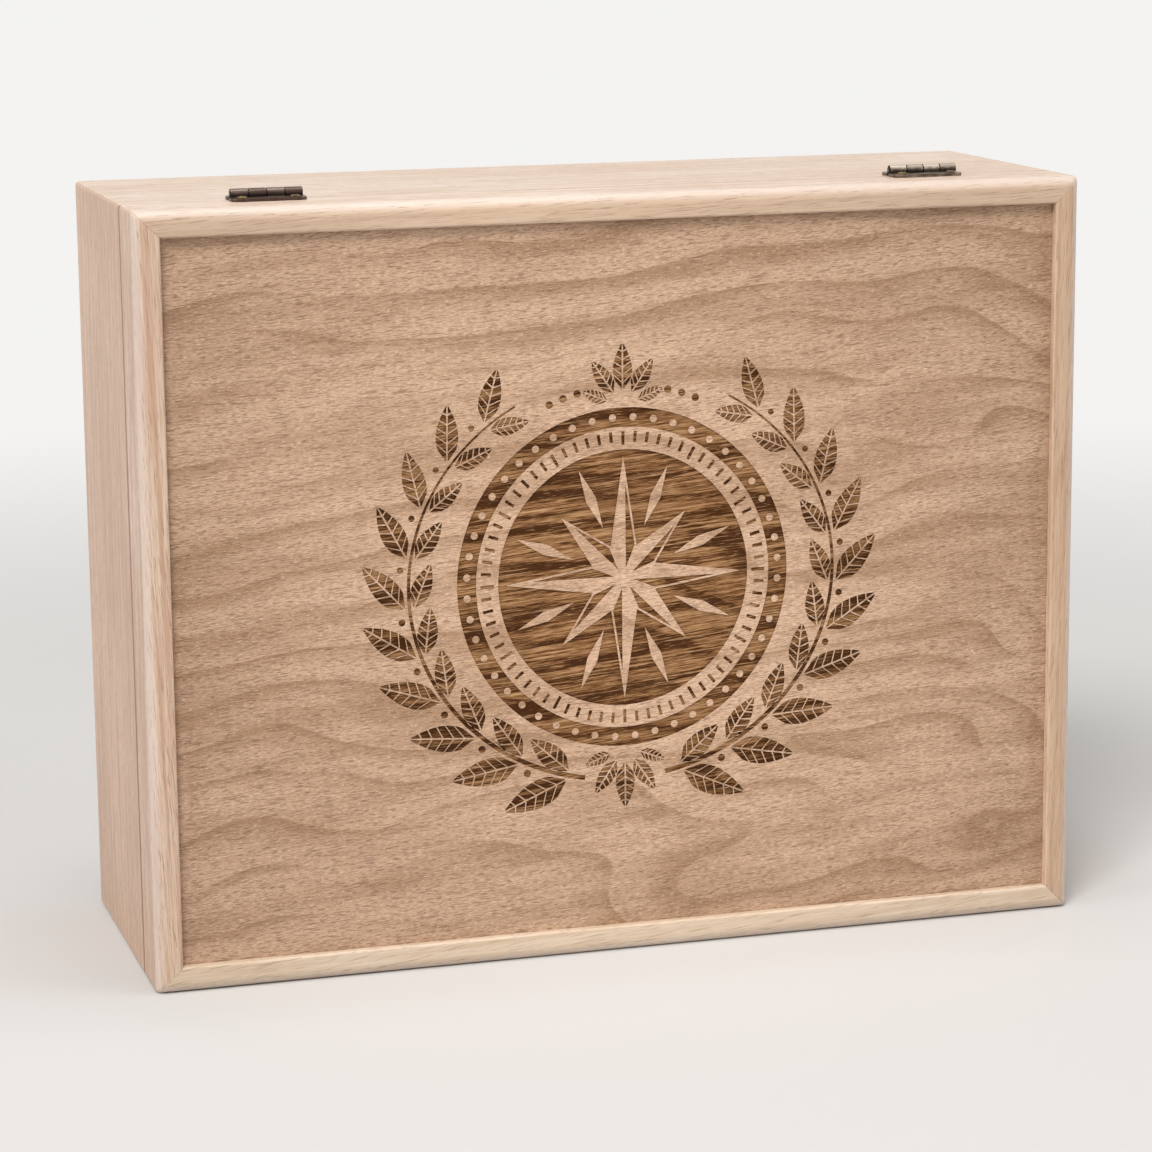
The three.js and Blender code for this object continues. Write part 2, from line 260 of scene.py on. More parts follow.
# Light: each lamp's name, place and size in metres, power in watts, beam in degrees and tint
WORLD_STRENGTH = 0.18
WORLD_TINT = (1, 0.985, 0.965, 1)
LAMPS = (
    ("key", (-1.5, -2.3, 3.2), 1.4, 124, 180, (1, 0.99, 0.98)),
    ("window", (-3.2, -0.9, 1), 1.4, 30, 180, (0.98, 0.99, 1)),
    ("overhead", (0.1, -0.1, 2.6), 1.1, 28, 180, (1, 1, 1)),
    ("edge", (2.8, -1.5, 1.1), 1.4, 29, 180, (1, 1, 1)),
    ("middle", (-0.9, -2.6, 1.3), 0.1, 0.05, 6, (1, 1, 1)),
)

# Camera, fitted to the corners of the box in the photograph
IMAGE_WIDTH_PX = 1152
FOCAL_LENGTH_PX = 3630.4
SENSOR_WIDTH_MM = 36
VIEW_REACH = 100
CAMERA_FROM_LID_FACE = Vector((-378.7, -1223.8, 398)) * MM
CAMERA_YAW_DEGREES = 16.376
CAMERA_PITCH_DEGREES = 11.364
CAMERA_ROLL_DEGREES = -0.552


# Colours

def rgb(red, green, blue):
    """The linear colour of a screen colour, whose parts go from 0 to 255, by the sRGB curve."""
    def linear(value):
        """One of the three parts, from 0 to 1."""
        share = value / 255
        return share / 12.92 if share <= 0.04045 else ((share + 0.055) / 1.055) ** 2.4
    return (linear(red), linear(green), linear(blue), 1.0)


LEFT_WOOD = (rgb(222, 188, 163), rgb(221, 200, 180), rgb(188, 153, 128), rgb(142, 108, 82))
TOP_WOOD = (rgb(220, 203, 189), rgb(206, 179, 154), rgb(190, 163, 139), rgb(148, 116, 90))
FRONT_WOOD = (rgb(230, 210, 190), rgb(221, 203, 183), rgb(204, 181, 155), rgb(152, 124, 94))
RIGHT_WOOD = (rgb(218, 190, 166), rgb(206, 177, 151), rgb(185, 152, 124), rgb(142, 108, 80))
# Paler wood on the outer rounded edges: partly sanded wood, partly a painted highlight
BOARD_EASED_AND_HIGHLIGHT = rgb(208, 194, 184)
# A paler colour mixed into the lid's sides only, though lid and base are the same wood: a painted highlight
LID_SIDE_HIGHLIGHT = rgb(236, 214, 197)
LID_SIDE_HIGHLIGHT_SHARE = 0.5
BOARD_JOINT = rgb(126, 76, 50)
PANEL_LIGHT = rgb(226, 196, 170)
PANEL_PALE = rgb(197, 164, 137)
PANEL_DARK = rgb(155, 121, 92)
PANEL_FLECK = rgb(116, 80, 55)
BURN_PALE = rgb(184, 148, 110)
BURN_LIGHT = rgb(154, 117, 82)
BURN_MIDDLE = rgb(114, 78, 47)
BURN_DARK = rgb(58, 31, 11)
BRONZE_DARK = rgb(66, 44, 35)
# Pale bronze for wearing on edges and in patches and for the painted highlight on the barrel's top; also the
# magnets' scuffs
BRONZE_WORN_AND_HIGHLIGHT = rgb(204, 192, 174)
# Near black for grime in the bronze's gaps, for painted shade under the hinge barrel and for the darker inside of
# its bore
BRONZE_DIRT_AND_SHADE = rgb(26, 20, 17)
BRASS = rgb(140, 112, 68)
BRASS_DARK = rgb(58, 42, 26)
NICKEL = rgb(196, 197, 198)
FLOOR_PALE = rgb(208, 206, 204)
BACKGROUND = rgb(244, 243, 241)


# Material nodes

class Graph:
    """The node tree of a new material, or of a new world, built from short calls."""

    def __init__(self, name, owners=bpy.data.materials):
        self.owner = owners.new(name)
        self.owner.use_nodes = True
        self.tree = self.owner.node_tree
        self.tree.nodes.clear()

    def node(self, kind, inputs, **settings):
        """A node with its settings, and each input linked to a socket or set to a value."""
        made = self.tree.nodes.new(kind)
        for name, value in settings.items():
            setattr(made, name, value)
        for key, value in inputs.items():
            if isinstance(value, bpy.types.NodeSocket):
                self.tree.links.new(value, made.inputs[key])
            else:
                made.inputs[key].default_value = value
        return made

    def math(self, operation, first, second=0, third=0, clamp=False):
        """A number worked out from up to three others."""
        inputs = {0: first, 1: second, 2: third}
        return self.node("ShaderNodeMath", inputs, operation=operation, use_clamp=clamp).outputs[0]

    def vector(self, operation, first, second=(0, 0, 0), third=(0, 0, 0), output="Vector"):
        """A vector, or a number from the output Value, worked out from up to three vectors."""
        inputs = {0: first, 1: second, 2: third}
        return self.node("ShaderNodeVectorMath", inputs, operation=operation).outputs[output]

    def dot(self, first, second):
        """The dot product of two vectors."""
        return self.vector("DOT_PRODUCT", first, second, output="Value")

    def tilted(self, space, degrees):
        """The space turned about its second axis, so that the grain in it slopes."""
        inputs = {"Vector": space, "Angle": math.radians(degrees)}
        return self.node("ShaderNodeVectorRotate", inputs, rotation_type="Y_AXIS").outputs[0]

    def noise(self, space, per_mm, detail=2, roughness=0.5, output="Fac"):
        """Noise with its own number of waves per millimetre along each axis of the space."""
        stretched = self.vector("MULTIPLY", space, per_mm)
        inputs = {"Vector": stretched, "Scale": 1.0, "Detail": detail, "Roughness": roughness}
        return self.node("ShaderNodeTexNoise", inputs).outputs[output]

    def ramp(self, value, *stops):
        """A smooth curve through (position, height) stops, as a number."""
        made = self.node("ShaderNodeValToRGB", {0: value})
        made.color_ramp.interpolation = "EASE"
        elements = made.color_ramp.elements
        while len(elements) < len(stops):
            elements.new(0.5)
        for element, (position, height) in zip(elements, stops):
            element.position = position
            element.color = (height, height, height, 1.0)
        return made.outputs[0]

    def mix(self, share, first, second):
        """Colour from first to second by share. The node's colours are its inputs 6 and 7 and output 2."""
        return self.node("ShaderNodeMix", {0: share, 6: first, 7: second}, data_type="RGBA").outputs[2]

    def relief(self, height, depth, strength):
        """A normal that is turned by the slopes of a height."""
        inputs = {"Height": height, "Distance": depth, "Strength": strength}
        return self.node("ShaderNodeBump", inputs).outputs[0]

    def varied(self, share, reach, least):
        """A number that rises with the share from its least value."""
        return self.math("MULTIPLY_ADD", share, reach, least)

    def parts(self, vector):
        """The three numbers of a vector."""
        return self.node("ShaderNodeSeparateXYZ", {0: vector}).outputs

    def place(self):
        """The point that is shaded, in its piece's own coordinates."""
        return self.node("ShaderNodeTexCoord", {}).outputs["Object"]

    def finish(self, **sockets):
        """Ends the material in one Principled shader with these sockets."""
        inputs = {name.replace("_", " "): value for name, value in sockets.items()}
        shader = self.node("ShaderNodeBsdfPrincipled", inputs)
        self.node("ShaderNodeOutputMaterial", {"Surface": shader.outputs[0]})
        return self.owner


def grain_space(graph, along, seed):
    """The point in millimetres: first along the grain, then two ways across it."""
    parts = graph.parts(graph.place())
    order = {"X": (0, 1, 2), "Z": (2, 1, 0)}[along]
    swapped = graph.node("ShaderNodeCombineXYZ", {i: parts[axis] for i, axis in enumerate(order)})
    per_metre = (1 / MM,) * 3
    return graph.vector("MULTIPLY_ADD", swapped.outputs[0], per_metre, seed)


def wander(graph, space, per_mm, reach):
    """The space moved to and fro by slow noise, so that straight lines in it wander."""
    shift = graph.vector("SUBTRACT", graph.noise(space, per_mm, output="Color"), (0.5, 0.5, 0.5))
    return graph.vector("MULTIPLY_ADD", shift, reach, space)


def board_wood(side, colours, outer):
    """Straight-grained hardwood. Its rings show wide apart on the sides and close on the front and rims.

    The colours are the pale wood of the sides and of the front, its lines and its pores. Outer is where
    the box's outside lies, where the wood is darkened beside the joint of lid and base.
    """
    side_pale, front_pale, line, pore = colours
    along, seed, slants, joint_reach = BOARD_GRAIN[side]
    graph = Graph(f"wood_{side}")
    place = grain_space(graph, along, (0, 0, 0))
    space = graph.vector("ADD", place, seed)
    turned, skewed = (graph.tilted(space, slant) for slant in slants)
    bent = wander(graph, turned, *BOARD_BEND)
    bent = wander(graph, bent, *BOARD_RIPPLE)
    ring = graph.math("FRACT", graph.dot(bent, BOARD_RINGS))
    late = graph.ramp(ring, (0, 0.4), (0.08, 0), (0.6, 0.1), (0.92, 1), (1, 0.5))
    streak = graph.noise(bent, *BOARD_STREAK)
    fibre = graph.noise(bent, *BOARD_FIBRE)
    dash = graph.noise(wander(graph, skewed, *BOARD_PORE_RIPPLE), *BOARD_PORE)
    cloud = graph.noise(space, *BOARD_CLOUD)
    normal = graph.node("ShaderNodeTexCoord", {}).outputs["Normal"]
    facing = graph.math("ABSOLUTE", graph.parts(normal)[1])
    figure = graph.ramp(facing, (0.05, 0.8), (0.5, 0.3), (0.97, 1))
    # The outer rounded edges are painted paler, partly as sanded wood and partly as a painted highlight
    eased_and_highlight = graph.ramp(facing, (0.02, 0), (0.3, 0.65), (0.8, 0.5), (1, 0))
    tone = graph.math("MULTIPLY", late, graph.ramp(streak, (0.34, 0.1), (0.62, 0.7)))
    tone = graph.math("ADD", tone, graph.ramp(streak, (0.44, 0), (0.74, 0.45)))
    tone = graph.math("MULTIPLY", tone, figure)
    tone = graph.math("ADD", tone, graph.ramp(cloud, (0.3, 0), (0.7, 0.35)))
    tone = graph.math("ADD", tone, graph.ramp(fibre, (0.34, 0), (0.66, 0.65)), clamp=True)
    parts = graph.parts(place)
    on_lid = graph.math("LESS_THAN", parts[1], PARTING_Y / MM)
    # Painted highlight: the lid's sides are mixed halfway towards a paler colour than the base's
    flank = graph.mix(graph.math("MULTIPLY", on_lid, LID_SIDE_HIGHLIGHT_SHARE), side_pale, LID_SIDE_HIGHLIGHT)
    wood = graph.mix(tone, graph.mix(facing, flank, front_pale), line)
    dashes = graph.math("MULTIPLY", graph.ramp(dash, (0.57, 0), (0.66, 0.75)), figure)
    from_joint = graph.math("ABSOLUTE", graph.math("SUBTRACT", parts[1], PARTING_Y / MM))
    from_outside = graph.math("ABSOLUTE", graph.math("SUBTRACT", parts[2], outer / MM))
    outside = graph.math("LESS_THAN", from_outside, LID_FACE_RADIUS / MM)
    wood = graph.mix(graph.math("MULTIPLY", eased_and_highlight, outside), wood, BOARD_EASED_AND_HIGHLIGHT)
    wood = graph.mix(dashes, wood, pore)
    joint = graph.ramp(graph.math("DIVIDE", from_joint, joint_reach), (0.8, 0.9), (1, 0))
    joint = graph.math("MULTIPLY", joint, graph.ramp(from_outside, (0.55, 0.85), (0.95, 0)))
    wood = graph.mix(joint, wood, BOARD_JOINT)
    height = graph.math("SUBTRACT", graph.math("MULTIPLY", fibre, 0.6), dashes)
    rough = graph.varied(fibre, *BOARD_ROUGHNESS)
    return graph.finish(Base_Color=wood, Roughness=rough, Normal=graph.relief(height, *BOARD_RELIEF))


def panel_figure(graph, seed):
    """What the panel's wood and its burnt places share: straight grain, bent grain and rings."""
    space = grain_space(graph, "X", seed)
    sloped = graph.tilted(space, PANEL_SLOPE_DEGREES)
    straight = wander(graph, sloped, *PANEL_STRAIGHT)
    bent = wander(graph, sloped, *PANEL_BEND)
    bent = wander(graph, bent, *PANEL_RIPPLE)
    hills = graph.noise(bent, *PANEL_HILLS)
    level = graph.dot(bent, PANEL_RINGS)
    corner = graph.math("ADD", graph.dot(space, PANEL_CORNER), PANEL_CORNER_SHARE)
    loops = graph.math("MULTIPLY", hills, graph.ramp(corner, (0.2, 0.3), (0.85, 1)))
    ring = graph.math("FRACT", graph.math("MULTIPLY_ADD", loops, PANEL_HILL_RINGS, level))
    return straight, bent, ring


def panel_wood(name, seed):
    """Pinkish veneer with short dark flecks. Each ring has one dark edge, and fades away from it."""
    graph = Graph(name)
    straight, bent, ring = panel_figure(graph, seed)
    band = graph.ramp(ring, (0, 0.1), (0.4, 0.05), (0.8, 0.55), (0.94, 1), (1, 0.1))
    soft = graph.noise(bent, *PANEL_SOFT)
    broad = graph.noise(bent, *PANEL_BROAD)
    line = graph.noise(straight, *PANEL_LINE)
    fleck = graph.noise(straight, *PANEL_THIN_DASH)
    stroke = graph.noise(straight, *PANEL_LONG_DASH)
    grain = graph.noise(straight, *PANEL_GRAIN)
    strength = graph.ramp(soft, (0.34, 0.05), (0.6, 1))
    tone = graph.math("MULTIPLY", band, strength)
    tone = graph.math("MULTIPLY_ADD", tone, 0.95, graph.ramp(broad, (0.4, 0), (0.66, 0.5)))
    tone = graph.math("ADD", tone, graph.ramp(line, (0.44, 0), (0.68, 0.24)), clamp=True)
    wood = graph.mix(tone, PANEL_PALE, PANEL_DARK)
    wood = graph.mix(graph.ramp(grain, (0.42, 0), (0.72, 0.65)), wood, PANEL_DARK)
    wood = graph.mix(graph.ramp(grain, (0.28, 0.6), (0.46, 0)), wood, PANEL_LIGHT)
    thin = graph.ramp(fleck, (0.56, 0), (0.66, 0.65))
    long = graph.ramp(stroke, (0.63, 0), (0.69, 0.6))
    dashes = graph.math("MAXIMUM", thin, long)
    wood = graph.mix(dashes, wood, PANEL_FLECK)
    height = graph.math("SUBTRACT", graph.math("MULTIPLY", grain, 0.5), dashes)
    rough = graph.varied(grain, *PANEL_ROUGHNESS)
    return graph.finish(Base_Color=wood, Roughness=rough, Normal=graph.relief(height, *PANEL_RELIEF))


def burnt_wood(name, seed):
    """The same veneer where it is burnt away: brown, with the grain left as dark and light streaks."""
    graph = Graph(name)
    straight, bent, ring = panel_figure(graph, seed)
    band = graph.ramp(ring, (0, 0.1), (0.6, 0), (0.93, 1), (1, 0.1))
    streak = graph.noise(bent, *BURN_STREAK)
    line = graph.noise(straight, *BURN_LINE)
    thread = graph.noise(straight, *BURN_THREAD)
    tone = graph.math("MULTIPLY_ADD", band, 0.45, graph.ramp(streak, (0.46, 0), (0.66, 0.6)))
    tone = graph.math("ADD", tone, graph.ramp(line, (0.4, 0), (0.62, 0.5)))
    tone = graph.math("ADD", tone, graph.ramp(thread, (0.42, 0), (0.6, 0.45)))
    wood = graph.mix(graph.ramp(tone, (0.08, 0), (0.62, 1)), BURN_LIGHT, BURN_MIDDLE)
    wood = graph.mix(graph.ramp(tone, (0.6, 0), (0.95, 0.95)), wood, BURN_DARK)
    pale_line = graph.ramp(line, (0.3, 0.8), (0.42, 0))
    pale_thread = graph.ramp(thread, (0.28, 0.7), (0.4, 0))
    wood = graph.mix(graph.math("ADD", pale_line, pale_thread), wood, BURN_PALE)
    height = graph.math("MULTIPLY_ADD", line, 0.8, thread)
    return graph.finish(
        Base_Color=wood,
        Roughness=BURN_ROUGHNESS,
        Specular_IOR_Level=BURN_SPECULAR,
        Normal=graph.relief(height, *BURN_RELIEF),
    )


def aged_bronze(name, seed, wear_and_sheen):
    """Dark plating, pale from rubbing on sharp edges and in patches, with a painted highlight on top of the
    barrel, painted shade low on it and under it, darker inside it, and grime in its gaps.

    The last argument says how much pale metal shows, from 0 to 1: partly from real wearing and partly as a
    painted highlight and reflection. The places on the barrel are counted from its axis, in radii.
    """
    graph = Graph(name)
    space = grain_space(graph, "X", seed)
    point = graph.node("ShaderNodeNewGeometry", {}).outputs["Pointiness"]
    patch = graph.noise(space, *BRONZE_PATCH)
    fine = graph.noise(space, *BRONZE_FINE)
    edge = graph.ramp(point, (0.6, 0), (0.7, 0.45))
    rubbed = graph.ramp(graph.math("MULTIPLY_ADD", fine, 0.25, patch), (0.46, 0.1), (0.84, 1))
    parts = graph.parts(graph.place())
    above = graph.math("SUBTRACT", parts[2], BOX_HIGH.z + HINGE_AXIS_HEIGHT)
    above = graph.math("DIVIDE", above, BARREL_RADIUS)
    across = graph.math("DIVIDE", graph.math("SUBTRACT", parts[1], PARTING_Y), BARREL_RADIUS)
    square = graph.math("MULTIPLY_ADD", above, above, graph.math("MULTIPLY", across, across))
    # Painted highlight: the top of the barrel is made pale, broken up by fine noise
    top = graph.ramp(above, (0.1, 0), (0.7, 1))
    top = graph.math("MULTIPLY", top, graph.ramp(fine, (0.3, 0.7), (0.6, 1)))
    worn_and_lit = graph.math("MAXIMUM", rubbed, top)
    # Painted shade: the pale share fades on the lower half of the barrel, so that it is darker towards the bottom
    worn_and_lit = graph.math("MULTIPLY", worn_and_lit, graph.ramp(above, (0, 0.45), (0.5, 1)))
    share = graph.math("MULTIPLY_ADD", worn_and_lit, wear_and_sheen, edge, clamp=True)
    metal = graph.mix(share, BRONZE_DARK, BRONZE_WORN_AND_HIGHLIGHT)
    leaf_top = (LEAF_TOP - HINGE_AXIS_HEIGHT) / BARREL_RADIUS
    over_leaf = graph.math("SUBTRACT", above, leaf_top)
    # Painted shade: the barrel is darkened just above the leaf, where shade falls under it
    shade_under_barrel = graph.ramp(over_leaf, (0, 0), (0.02, 0.85), (0.4, 0.75), (0.9, 0))
    # Darker inside the knuckle's bore and on the pin
    inside = graph.ramp(square, (0.74, 1), (0.92, 0))
    # Grime in concave gaps, together with the painted shade under the barrel
    dirt_and_shade = graph.math("MAXIMUM", graph.ramp(point, (0.42, 1), (0.49, 0)), shade_under_barrel)
    dirt_and_shade = graph.math("MAXIMUM", dirt_and_shade, inside)
    metal = graph.mix(dirt_and_shade, metal, BRONZE_DIRT_AND_SHADE)
    return graph.finish(
        Base_Color=metal,
        Metallic=graph.varied(share, *BRONZE_METALLIC),
        Roughness=graph.varied(fine, *BRONZE_ROUGHNESS),
        Normal=graph.relief(fine, *BRONZE_RELIEF),
    )


def screw_brass(name, seed):
    """Brass with dark plating left in the recess and round the rim."""
    graph = Graph(name)
    space = grain_space(graph, "X", seed)
    point = graph.node("ShaderNodeNewGeometry", {}).outputs["Pointiness"]
    patch = graph.noise(space, *BRASS_PATCH)
    plated = graph.ramp(patch, (0.4, 0), (0.64, 0.85))
    dark = graph.math("MAXIMUM", plated, graph.ramp(point, (0.42, 1), (0.5, 0)))
    metal = graph.mix(dark, BRASS, BRASS_DARK)
    rough = graph.varied(patch, *BRASS_ROUGHNESS)
    return graph.finish(Base_Color=metal, Metallic=BRASS_METALLIC, Roughness=rough)


def magnet_nickel():
    """Plating with faint scuffs."""
    graph = Graph("magnet_nickel")
    space = grain_space(graph, "X", (0, 0, 0))
    scuff = graph.noise(space, *NICKEL_SCUFF)
    metal = graph.mix(graph.ramp(scuff, (0.45, 0), (0.75, 0.4)), NICKEL, BRONZE_WORN_AND_HIGHLIGHT)
    rough = graph.varied(scuff, *NICKEL_ROUGHNESS)
    return graph.finish(Base_Color=metal, Metallic=1.0, Roughness=rough)


# Mesh building

def new_object(name, data):
    """An object in the scene, made of a mesh, a light or a camera."""
    made = bpy.data.objects.new(name, data)
    bpy.context.scene.collection.objects.link(made)
    return made


def mesh_object(name, shape, *materials):
    """Ends a bmesh as an object, welded and with its faces pointing out."""
    bmesh.ops.remove_doubles(shape, verts=shape.verts, dist=WELD_DISTANCE)
    bmesh.ops.dissolve_degenerate(shape, edges=shape.edges, dist=WELD_DISTANCE)
    bmesh.ops.recalc_face_normals(shape, faces=shape.faces)
    mesh = bpy.data.meshes.new(name)
    shape.to_mesh(mesh)
    shape.free()
    for material in materials:
        mesh.materials.append(material)
    return new_object(name, mesh)


def modify(piece, kind, **settings):
    """Puts what a modifier makes of the piece into the piece's own mesh."""
    modifier = piece.modifiers.new(kind, kind)
    for name, value in settings.items():
        setattr(modifier, name, value)
    bpy.context.view_layer.update()
    shaped = piece.evaluated_get(bpy.context.evaluated_depsgraph_get())
    mesh = bpy.data.meshes.new_from_object(shaped)
    piece.modifiers.clear()
    old = piece.data
    piece.data = mesh
    mesh.name = piece.name
    bpy.data.meshes.remove(old)


def smooth(piece):
    """Smooth shading that keeps the large flat faces flat."""
    piece.data.shade_smooth()
    piece.data.set_sharp_from_angle(angle=SMOOTH_ANGLE)
    modify(piece, "WEIGHTED_NORMAL", keep_sharp=True)


def combine(piece, tool, operation):
    """Joins the tool to the piece or cuts it out, and deletes the tool."""
    modify(piece, "BOOLEAN", solver="MANIFOLD", operation=operation, object=tool)
    bpy.data.objects.remove(tool)


def bevel(piece, width, steps):
    """Rounds the piece's hard edges."""
    modify(piece, "BEVEL", width=width, segments=steps, limit_method="ANGLE", angle_limit=SMOOTH_ANGLE)


def rounded_outline(corners, steps):
    """A closed outline through (x, y, radius) corners, each rounded by an arc of its radius."""
    outline = []
    count = len(corners)
    for index, (x, y, radius) in enumerate(corners):
        corner = Vector((x, y))
        if radius == 0:
            outline.append(corner)
            continue
        before = (Vector(corners[index - 1][:2]) - corner).normalized()
        after = (Vector(corners[(index + 1) % count][:2]) - corner).normalized()
        reach = radius / math.tan(before.angle(after) / 2)
        centre = corner + (before + after).normalized() * radius / math.sin(before.angle(after) / 2)
        start = corner + before * reach - centre
        end = corner + after * reach - centre
        sweep = start.angle_signed(end)
        for step in range(steps + 1):
            turned = start.copy()
            turned.rotate(Matrix.Rotation(-sweep * step / steps, 2))
            outline.append(centre + turned)
    return outline


def skin(shape, rings):
    """Adds faces from each ring of points to the next. A ring that shrinks to one point repeats it."""
    for near, far in zip(rings, rings[1:]):
        for index in range(len(near)):
            following = (index + 1) % len(near)
            corners = (near[index], near[following], far[following], far[index])
            shape.faces.new(list(dict.fromkeys(corners)))


def prisms(name, outlines, place, low, high, *materials):
    """The closed solids that outlines sweep from low to high. Place turns a point into its position."""
    shape = bmesh.new()
    for outline in outlines:
        near, far = [[shape.verts.new(place(x, y, level)) for x, y in outline] for level in (low, high)]
        skin(shape, (near, far))
        shape.faces.new(list(reversed(near)))
        shape.faces.new(far)
    return mesh_object(name, shape, *materials)


def as_drawn(x, y, level):
    """The position of a point on an upright prism that stands where it is drawn."""
    return (x, y, level)


def tiled_slab(low, high):
    """A slab whose two large faces are laid out in tiles, so that no face grows too intricate when cut."""
    shape = bmesh.new()
    size = high - low
    middle = (low + high) / 2
    columns, rows = math.ceil(size.x / SLAB_TILE), math.ceil(size.z / SLAB_TILE)
    bmesh.ops.create_grid(shape, x_segments=columns, y_segments=rows, size=0.5)
    flat = shape.faces[:]
    for vert in shape.verts:
        vert.co = (middle.x + vert.co.x * size.x, low.y, middle.z + vert.co.y * size.z)
    for item in bmesh.ops.extrude_face_region(shape, geom=flat)["geom"]:
        if isinstance(item, bmesh.types.BMVert):
            item.co.y = high.y
    return shape


def lathe(name, profile, steps, material):
    """The solid that a (radius, height) profile turns about the Z axis, where it starts and ends."""
    shape = bmesh.new()
    rings = []
    turns = [2 * math.pi * step / steps for step in range(steps)]
    for radius, height in profile:
        if radius == 0:
            rings.append([shape.verts.new((0, 0, height))] * steps)
            continue
        ring = [(radius * math.cos(turn), radius * math.sin(turn), height) for turn in turns]
        rings.append([shape.verts.new(point) for point in ring])
    skin(shape, rings)
    return mesh_object(name, shape, material)


# Boards

def section(low, high, low_radius, high_radius, inner_radius, panel):
    """Section of a board from one depth to another, as (depth, inwards) points, grooved for its panel.

    Low and high radius round the ends of its outer side, and inner radius the low end of its inner side.
    """
    floor = WALL - GROOVE_DEPTH
    near = panel[0].y - PANEL_SIDE_CLEARANCE
    far = panel[1].y + PANEL_SIDE_CLEARANCE
    return rounded_outline([
        (low, 0, low_radius),
        (high, 0, high_radius),
        (high, WALL, ARRIS_RADIUS),
        (far, WALL, ARRIS_RADIUS),
        (far, floor, 0),
        (near, floor, 0),
        (near, WALL, ARRIS_RADIUS),
        (low, WALL, inner_radius),
    ], ROUND_STEPS)


def magnet_seats(body, material):
    """Solids that cut blind round holes for a body's magnets, from its rim to just behind them."""
    holes = []
    for side in ("left", "right"):
        low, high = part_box(f"{body}_magnet_{side}")
        middle = (low + high) / 2
        radius = (high.x - low.x) / 2 + MAGNET_CLEARANCE
        holes.append(circle(radius, Vector((middle.x, middle.z)), TURN_STEPS))
    if body == "lid":
        ends = (low.y - MAGNET_CLEARANCE, LID_RIM_Y + CUT_OVERRUN)
    else:
        ends = (BASE_RIM_Y - CUT_OVERRUN, high.y + MAGNET_CLEARANCE)
    return prisms("seats", holes, lambda x, z, y: (x, y, z), *ends, material)


def board(name, outline, length, place, material, body):
    """A mitred board. At both ends its outer side turns through half of the box's rounded corner."""
    shape = bmesh.new()
    half = length / 2
    inset = MITRE_GAP * math.sqrt(0.5)
    turns = [MITRE_ANGLE * step / CORNER_STEPS for step in range(CORNER_STEPS + 1)]
    stations = [(-1, turn) for turn in reversed(turns)] + [(1, turn) for turn in turns]
    rings = []
    for end, turn in stations:
        ring = []
        for depth, inwards in outline:
            radius = BOX_CORNER_RADIUS if inwards < WALL / 2 else 0
            lifted = inwards + radius * (1 - math.cos(turn))
            along = half - inwards - radius * (1 - math.sin(turn))
            reached = min(along, half - lifted - inset)
            ring.append(shape.verts.new(place(end * reached, depth, lifted)))
        rings.append(ring)
    skin(shape, rings)
    shape.faces.new(rings[0])
    shape.faces.new(list(reversed(rings[-1])))
    made = mesh_object(f"wood_{name}", shape, material)
    if name.endswith("front"):
        combine(made, magnet_seats(body, material), "DIFFERENCE")
    smooth(made)
    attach(made, body)
    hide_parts(name)


def add_boards():
    """The four boards of the lid and of the base. Those on one side are cut from the same wood."""
    width = BOX_HIGH.x - BOX_LOW.x
    height = BOX_HIGH.z - BOX_LOW.z
    # Length, colours, outside, and the place of a point (along, depth, inwards)
    sides = {
        "front": (width, FRONT_WOOD, BOX_LOW.z, lambda a, d, w: (a, d, BOX_LOW.z + w)),
        "hinge_side": (width, TOP_WOOD, BOX_HIGH.z, lambda a, d, w: (a, d, BOX_HIGH.z - w)),
        "left": (height, LEFT_WOOD, BOX_LOW.x, lambda a, d, w: (BOX_LOW.x + w, d, BOX_MIDDLE.z + a)),
        "right": (height, RIGHT_WOOD, BOX_HIGH.x, lambda a, d, w: (BOX_HIGH.x - w, d, BOX_MIDDLE.z + a)),
    }
    lid = section(BOX_LOW.y, LID_RIM_Y, LID_FACE_RADIUS, RIM_RADIUS, LID_INNER_RADIUS, LID_PANEL)
    base = section(BASE_RIM_Y, BOX_HIGH.y, RIM_RADIUS, UNDERSIDE_RADIUS, ARRIS_RADIUS, BASE_PANEL)
    for side, (length, colours, outer, place) in sides.items():
        wood = board_wood(side, colours, outer)
        board(f"lid_board_{side}", lid, length, place, wood, "lid")
        board(f"base_board_{side}", base, length, place, wood, "base")


# Engraving

def on_panel(x, z, depth):
    """A point of the engraving, from the middle of the panel, at a depth behind its face."""
    return (BOX_MIDDLE.x + x, LID_PANEL[0].y + depth, BOX_MIDDLE.z + z)


def polar(radius, degrees):
    """A point at a radius, at an angle clockwise from the top."""
    angle = math.radians(degrees)
    return Vector((radius * math.sin(angle), radius * math.cos(angle)))


def circle(radius, centre=Vector((0, 0)), steps=CIRCLE_STEPS):
    """Points round a circle."""
    return [centre + polar(radius, 360 * step / steps) for step in range(steps)]


def stamp(name, outlines, overrun):
    """Closed solids that stand through the panel's face at these outlines."""
    return prisms(name, outlines, on_panel, -overrun, ENGRAVE_DEPTH)


def star_corners(step):
    """The tip of a point of the star, long or short in turn, and the valley that follows it."""
    radius = STAR_LONG_RADIUS if step % 2 == 0 else STAR_SHORT_RADIUS
    tip = polar(radius, STAR_PITCH_DEGREES * step)
    valley = polar(STAR_VALLEY_RADIUS, STAR_PITCH_DEGREES * (step + 0.5))
    return tip, valley


def star_outline():
    """The whole star."""
    return [corner for step in range(STAR_POINTS) for corner in star_corners(step)]


